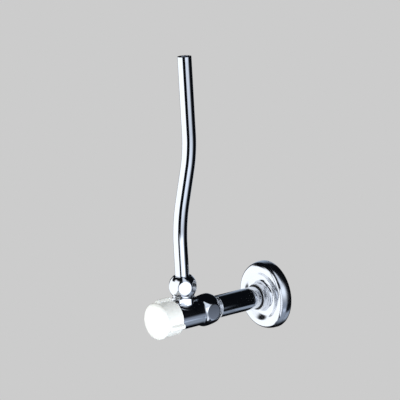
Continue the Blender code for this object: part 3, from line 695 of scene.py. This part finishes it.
knobShape = {
    "columns": 432,
    "rearY": -90.7,
    "frontY": -104.4,
    "rearR": 12.6,
    "frontR": 12.7,
    "recessR": 11.3,
    "recessDepth": 1.2,
    "screwHoleR": 2.2,
    "spindleEndY": -102.2,
    "socketR": 3.8,
    "hubY": (-98.5, -100.5),
    "hubR": 5.8,
    "hollowR": (10.7, 10.95),
    "ribR": 1.9,
    "ribAt": 13.1,
    "ribAngles": (100.0, -20.0, -140.0),
    "ribRear": -91.0,
    "ribLead": 0.6,
    "outsideFrom": 11.9,
    "blend": 0.9,
}


# Radius(angle, along): the skirt joined softly to three bars with round front ends.
def makeKnob(p):
    rear, front = p["rearY"], p["frontY"]
    floor = front + p["recessDepth"]
    hubLow, hubHigh = p["hubY"]
    outline = [(p["rearR"] - 0.15, rear, 0.3), (p["frontR"], front, 0.35), (p["recessR"], front, 0.15),
               (p["recessR"], floor, 0.1), (p["screwHoleR"], floor, 0.1),
               (p["screwHoleR"], p["spindleEndY"], 0.0), (p["socketR"], p["spindleEndY"], 0.0),
               (p["socketR"], hubLow, 0.1), (p["hubR"], hubLow, 0.2),
               (p["hubR"], hubHigh, 0.2), (p["hollowR"][0], hubHigh, 0.5), (p["hollowR"][1], rear, 0.3)]
    profile = softProfile(outline, 0.4)
    angles = np.linspace(0, 2 * math.pi, p["columns"], endpoint=False)[None, :]
    radius = np.repeat(profile[:, :1], p["columns"], axis=1)
    y = profile[:, 1:]
    tip = front + p["ribLead"] + p["ribR"]
    halfWidth = np.sqrt(np.clip(p["ribR"] ** 2 - np.clip(tip - y, 0, None) ** 2, 0, None))
    height = np.zeros(radius.shape)
    for middle in p["ribAngles"]:
        off = np.mod(angles - math.radians(middle) + math.pi, 2 * math.pi) - math.pi
        inside = np.clip(halfWidth ** 2 - (p["ribAt"] * np.sin(off)) ** 2, 0, None)
        bar = np.where(np.abs(off) < 0.5, p["ribAt"] * np.cos(off) + np.sqrt(inside), 0)
        height = np.maximum(height, np.where(inside > 0, bar, 0))
    ribbed = softMax(radius, height, p["blend"])
    radius = np.where((radius > p["outsideFrom"]) & (y < p["ribRear"]), ribbed, radius)
    return gridObject("knob_ribbed_shell", aroundInlet(radius, angles, y + 0 * radius), True)


capShape = {"columns": 192, "frontY": -107.7, "radius": 13.3, "edge": 2.6, "backY": -104.7, "dome": 0.28,
            "ringR": (9.8, 11.0), "ringDepth": 1.2, "thick": 1.4}


# A shallow dome with a soft edge, a short skirt and the ring that clips into the knob.
def makeCap(p):
    frontY, backY = p["frontY"], p["backY"]
    flatR = p["radius"] - p["edge"]
    ringInner, ringOuter = p["ringR"]
    ringEnd, innerY = backY + p["ringDepth"], frontY + p["thick"]
    front = [(r, frontY + p["dome"] * (r / flatR) ** 2, 0.0) for r in np.linspace(0.03, flatR, 14)]
    edge = arcPoints((flatR, front[-1][1] + p["edge"]), p["edge"], -87, -4, 16)
    skirt = [(p["radius"], backY - 0.05, 0.1), (p["radius"] - 0.2, backY, 0.05), (ringOuter, backY, 0.1),
             (ringOuter, ringEnd, 0.2), (ringInner, ringEnd, 0.2), (ringInner, innerY, 0.3),
             (0.03, innerY, 0.0)]
    profile = softProfile(front + edge + skirt, 0.8, False)
    return turnedObject("knob_front_cap", profile, p["columns"], aroundInlet, False)


knob = makeKnob(knobShape)
cap = makeCap(capShape)
for piece, node in ((knob, "knob"), (cap, "knob_cap")):
    dress(piece, knobPlastic)
    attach(piece, "handwheel")
    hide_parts(node)
print("knob:", len(knob.data.polygons) + len(cap.data.polygons), "faces")

nodeFinish = {
    "headpart": turnedBrass, "spindle": turnedBrass, "valve_plug": turnedBrass, "plug_screw": turnedBrass,
    "olive": oliveBrass, "seat_ring": screwSteel, "knob_screw": screwSteel, "spindle_clip": screwSteel,
    "spindle_seal_front": sealRubber, "spindle_seal_rear": sealRubber, "plug_washer": sealRubber,
    "flange_grip_ring": sealRubber, "head_gasket": redFibre, "inlet_gasket": redFibre,
    "thrust_washer": sealTape, "wall_thread_seal": sealTape,
}
for node, finish in nodeFinish.items():
    dress(frame["nodes"][node], finish)
print("inner pieces dressed:", len(nodeFinish))

cameraAzimuth, cameraElevation, cameraRoll = 49.39, 13.13, 3.03
cameraDistance = 2.6
cameraLens = 322.2
cameraAim = (-0.0463, 0.0706)  # metres right and up of the frame's origin
paleGrey = "#CCCCCC"


def makeCamera():
    azimuth, elevation, roll = (math.radians(v) for v in (cameraAzimuth, cameraElevation, cameraRoll))
    level = math.cos(elevation)
    back = Vector((math.sin(azimuth) * level, -math.cos(azimuth) * level, math.sin(elevation)))
    right = Vector((math.cos(azimuth), math.sin(azimuth), 0))
    up = back.cross(right)
    imageX = right * math.cos(roll) - up * math.sin(roll)
    imageY = right * math.sin(roll) + up * math.cos(roll)
    data = bpy.data.cameras.new("camera")
    data.sensor_width = 36.0
    data.lens = cameraLens
    data.clip_end = 12.0
    camera = bpy.data.objects.new("camera", data)
    place = back * cameraDistance
    aim = right * cameraAim[0] + up * cameraAim[1]
    swing = (-back).rotation_difference(aim - place)
    facing = swing.to_matrix() @ Matrix((imageX, imageY, back)).transposed()
    camera.matrix_world = Matrix.Translation(place) @ facing.to_4x4()
    scene.collection.objects.link(camera)
    scene.camera = camera


def emptyMaterial(name):
    material = bpy.data.materials.new(name)
    material.use_nodes = True
    material.node_tree.nodes.clear()
    return material, material.node_tree


# A card of plain light. Its four fades are the shares of its width and height over
# which it dims to nothing at the left, right, lower and upper edge. It is clear behind
# its own glow, so that cards which overlap add up.
def glowMaterial(name, colour, strength, fades):
    material, tree = emptyMaterial(name)
    place = addNode(tree, "ShaderNodeUVMap", {"uv_map": "card"}).outputs[0]
    parts = addNode(tree, "ShaderNodeSeparateXYZ", None, {0: place}).outputs
    power = strength
    for axis, width, start in zip("XXYY", fades, (0, 1, 0, 1)):
        end = width if start == 0 else 1 - width
        share = addNode(tree, "ShaderNodeMapRange", {"interpolation_type": "SMOOTHSTEP"},
                        {"Value": parts[axis], "From Min": start, "From Max": end}).outputs[0]
        power = addNode(tree, "ShaderNodeMath", {"operation": "MULTIPLY"}, {0: share, 1: power}).outputs[0]
    glow = addNode(tree, "ShaderNodeEmission", None, {"Color": toLinear(colour), "Strength": power})
    clear = addNode(tree, "ShaderNodeBsdfTransparent")
    both = addNode(tree, "ShaderNodeAddShader", None, {0: glow.outputs[0], 1: clear.outputs[0]})
    addNode(tree, "ShaderNodeOutputMaterial", None, {"Surface": both.outputs[0]})
    return material


def cardObject(name, grid, material):
    rows, columns = grid.shape[:2]
    index = np.arange(rows * columns).reshape(rows, columns)
    quads = np.stack([index[:-1, :-1], index[:-1, 1:], index[1:, 1:], index[1:, :-1]], axis=-1).reshape(-1, 4)
    mesh = bpy.data.meshes.new(name)
    mesh.from_pydata(grid.reshape(-1, 3).tolist(), [], quads.tolist())
    across, along = np.meshgrid(np.linspace(0, 1, columns), np.linspace(0, 1, rows))
    corners = np.stack([across, along], axis=-1).reshape(-1, 2)[quads.reshape(-1)]
    layer = mesh.uv_layers.new(name="card")
    layer.data.foreach_set("uv", corners.astype(np.float32).reshape(-1))
    made = bpy.data.objects.new(name, mesh)
    scene.collection.objects.link(made)
    dress(made, material)
    made.visible_camera = False
    made.visible_shadow = False
    return made


domeCentre = np.array([0.0, -0.07, 0.04])


# Its directions are degrees right of the camera and above the horizon.
def curvedCard(name, sideways, upward, distance, colour, strength, fades):
    turn = np.radians(np.linspace(sideways[0], sideways[1], 33) - 90 + cameraAzimuth)
    lift = np.radians(np.linspace(upward[0], upward[1], 17))[:, None]
    grid = np.stack([np.cos(lift) * np.cos(turn), np.cos(lift) * np.sin(turn),
                     np.sin(lift) + 0 * turn], axis=-1)
    return cardObject(name, domeCentre + distance * grid, glowMaterial(name, colour, strength, fades))


# Its corner and its two sides are metres in the frame.
def flatCard(name, corner, across, along, colour, strength, fades):
    s, t = np.meshgrid(np.linspace(0, 1, 5), np.linspace(0, 1, 5))
    grid = np.array(corner) + s[..., None] * np.array(across) + t[..., None] * np.array(along)
    return cardObject(name, grid, glowMaterial(name, colour, strength, fades))


# The floor is matte to light and a plain even grey to the camera; from below it is clear.
def makeFloor():
    material, tree = emptyMaterial("pale_grey_studio_sweep")
    path = addNode(tree, "ShaderNodeLightPath")
    plain = addNode(tree, "ShaderNodeEmission", None, {"Color": toLinear(paleGrey), "Strength": 1.0})
    matte = addNode(tree, "ShaderNodeBsdfDiffuse", None, {"Color": toLinear(paleGrey)})
    shown = addNode(tree, "ShaderNodeMixShader", None,
                    {0: path.outputs["Is Camera Ray"], 1: matte.outputs[0], 2: plain.outputs[0]})
    clear = addNode(tree, "ShaderNodeBsdfTransparent")
    side = addNode(tree, "ShaderNodeNewGeometry")
    both = addNode(tree, "ShaderNodeMixShader", None,
                   {0: side.outputs["Backfacing"], 1: shown.outputs[0], 2: clear.outputs[0]})
    addNode(tree, "ShaderNodeOutputMaterial", None, {"Surface": both.outputs[0]})
    half, depth = 6.0, -0.5
    corners = [(-half, -half, depth), (half, -half, depth), (half, half, depth), (-half, half, depth)]
    mesh = bpy.data.meshes.new("floor")
    mesh.from_pydata(corners, [], [(0, 1, 2, 3)])
    floor = bpy.data.objects.new("floor", mesh)
    scene.collection.objects.link(floor)
    dress(floor, material)
    floor.visible_glossy = False


def makeWorld():
    world = bpy.data.worlds.new("studio")
    world.use_nodes = True
    tree = world.node_tree
    tree.nodes.clear()
    path = addNode(tree, "ShaderNodeLightPath")
    seen = addNode(tree, "ShaderNodeBackground", None, {"Color": toLinear(paleGrey), "Strength": 1.0})
    dark = addNode(tree, "ShaderNodeBackground", None, {"Color": toLinear("#0C0E12"), "Strength": 1.0})
    pick = addNode(tree, "ShaderNodeMixShader", None,
                   {0: path.outputs["Is Camera Ray"], 1: dark.outputs[0], 2: seen.outputs[0]})
    addNode(tree, "ShaderNodeOutputWorld", None, {"Surface": pick.outputs[0]})
    scene.world = world


# Each row is what its card function takes after the name.
softboxes = {
    "left_softbox": ((-155, -31), (-80, 26), 1.2, "#F8FCFF", 1.6, (0.12, 0.05, 0.05, 0.1)),
    "upper_left_softbox": ((-100, -31), (16, 52), 1.2, "#F8FCFF", 1.5, (0.3, 0.05, 0.25, 0.3)),
    "right_strip_light": ((8, 77), (-33, 52), 1.3, "#EAF3FF", 1.5, (0.08, 0.45, 0.5, 0.4)),
    "top_softbox": ((-5, 60), (28, 88), 1.3, "#EAF3FF", 1.1, (0.3, 0.3, 0.3, 0.2)),
}
flatCards = {
    "low_white_card": ((0.10, -0.205, -0.26), (0, 0.16, 0), (0, 0, 0.308), "#EEF5FF", 1.5,
                       (0.08, 0.25, 0.06, 0.05)),
    "low_blue_card": ((0.10, -0.075, -0.14), (0, 0.115, 0), (0, 0, 0.137), "#C2CFE4", 0.6,
                      (0.3, 0.2, 0.4, 0.35)),
    "floor_strip_front": ((-0.02, -0.035, -0.10), (0.17, 0, 0), (0, 0.08, 0), "#CAD9EE", 0.55,
                          (0.35, 0.25, 0.1, 0.1)),
    "floor_strip_rear": ((-0.01, 0.037, -0.10), (0.10, 0, 0), (0, 0.125, 0), "#CAD9EE", 0.6,
                         (0.35, 0.3, 0.06, 0.1)),
    "back_card": ((-0.10, 0.04, -0.01), (0, 0.13, 0), (0, 0, 0.19), "#C6D8EE", 0.75, (0.1, 0.1, 0.1, 0.85)),
}
# these light the plastic and aren't mirrored in the chrome
fillCards = {
    "front_fill": ((-60, 70), (-60, 80), 1.6, "#FFFAEC", 0.55, (0.2, 0.2, 0.2, 0.2)),
    "back_fill": ((110, 250), (-40, 80), 1.6, "#FFFCF2", 0.5, (0.2, 0.2, 0.2, 0.2)),
}

makeCamera()
makeWorld()
makeFloor()
for name, card in softboxes.items():
    curvedCard(name, *card)
for name, card in flatCards.items():
    flatCard(name, *card)
for name, card in fillCards.items():
    curvedCard(name, *card).visible_glossy = False
scene.view_settings.view_transform = "Standard"
scene.view_settings.look = "None"
print("stage made:", len(softboxes) + len(flatCards) + len(fillCards), "light cards")
